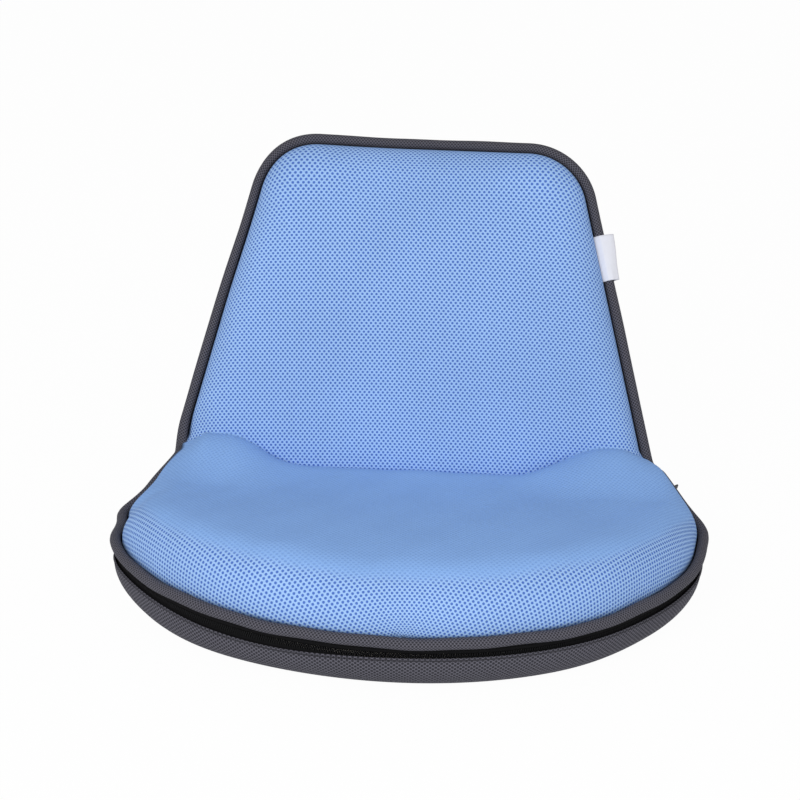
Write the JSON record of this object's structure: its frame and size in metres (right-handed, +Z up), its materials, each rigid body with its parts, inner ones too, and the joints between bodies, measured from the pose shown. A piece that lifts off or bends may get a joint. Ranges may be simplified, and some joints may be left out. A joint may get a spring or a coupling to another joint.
{
  "type": "folding floor chair",
  "caption": "Folding floor chair: oval padded seat and tapered padded back joined by click hinges, with mesh covers, fat piping, a zipper round the seat and a plain side tag.",
  "frame": {"origin": "on the floor, in the middle of the seat's resting face", "axes": "+X to the right as seen from the front, +Y from the seat's front towards the back, +Z up"},
  "size_m": [0.5442, 0.5107, 0.3503],
  "materials": {
    "blue_mesh": "matte spacer mesh with rows of round holes",
    "grey_mesh": "matte spacer mesh",
    "foam": "open cell foam",
    "steel": "powder coated",
    "webbing": "woven tape",
    "zipper_plastic": "moulded",
    "zipper_metal": "bright wire",
    "black_metal": "gloss black",
    "puller_plastic": "moulded",
    "white_ribbon": "woven ribbon, left bare"
  },
  "bodies": {
    "seat": {"seat_top_cover": "blue_mesh", "seat_foam": "foam", "seat_piping": "grey_mesh", "seat_side_band": "grey_mesh", "seat_bottom_panel": "grey_mesh", "seat_frame_tube": "steel", "seat_cross_tube": "steel", "seat_support_straps": "webbing", "zipper_tape_upper": "webbing", "zipper_tape_lower": "webbing", "zipper_teeth_upper": "zipper_plastic", "zipper_teeth_lower": "zipper_plastic", "zipper_end_stops": "zipper_metal", "crease_roll": "blue_mesh", "hinge_end_pad_left": "blue_mesh", "hinge_end_pad_right": "blue_mesh", "spine_gusset": "grey_mesh", "hinge_seat_plate_left": "steel", "hinge_seat_plate_right": "steel", "hinge_pin_left": "steel", "hinge_pin_right": "steel", "hinge_washers": "zipper_plastic", "hinge_click_spring_left": "steel", "hinge_click_spring_right": "steel", "seat_frame_rivets": "steel"},
    "back": {"back_front_cover": "blue_mesh", "back_foam": "foam", "back_piping": "grey_mesh", "back_side_band": "grey_mesh", "back_rear_panel": "grey_mesh", "back_frame_tube": "steel", "back_cross_tube": "steel", "back_support_straps": "webbing", "back_frame_rivets": "steel", "label_tag": "white_ribbon", "hinge_back_plate_left": "steel", "hinge_back_plate_right": "steel"},
    "slider": {"zipper_slider": "black_metal"},
    "bail": {"zipper_bail": "zipper_metal"},
    "pull": {"zipper_pull": "puller_plastic"}
  },
  "joints": [
    {"name": "recline", "type": "hinge", "parent": "seat", "child": "back", "pos_m": [0, 0.165, 0.078], "axis": [1, 0, 0], "range_deg": [-62, 112], "deforming": ["spine_gusset", "hinge_click_spring_left", "hinge_click_spring_right"]},
    {"name": "zipper_slide", "type": "slide", "parent": "seat", "child": "slider", "axis": [0.4326, -0.8236, -0.3669], "range_m": [0, 0.012]},
    {"name": "bail_swing", "type": "hinge", "parent": "slider", "child": "bail", "pos_m": [0.24304, 0.15775, 0.05604], "axis": [-0.1706, 0.3248, -0.9303], "range_deg": [-35, 85]},
    {"name": "pull_swing", "type": "hinge", "parent": "bail", "child": "pull", "pos_m": [0.24442, 0.16622, 0.05874], "axis": [-0.1706, 0.3248, -0.9303], "range_deg": [-20, 70]}
  ]
}
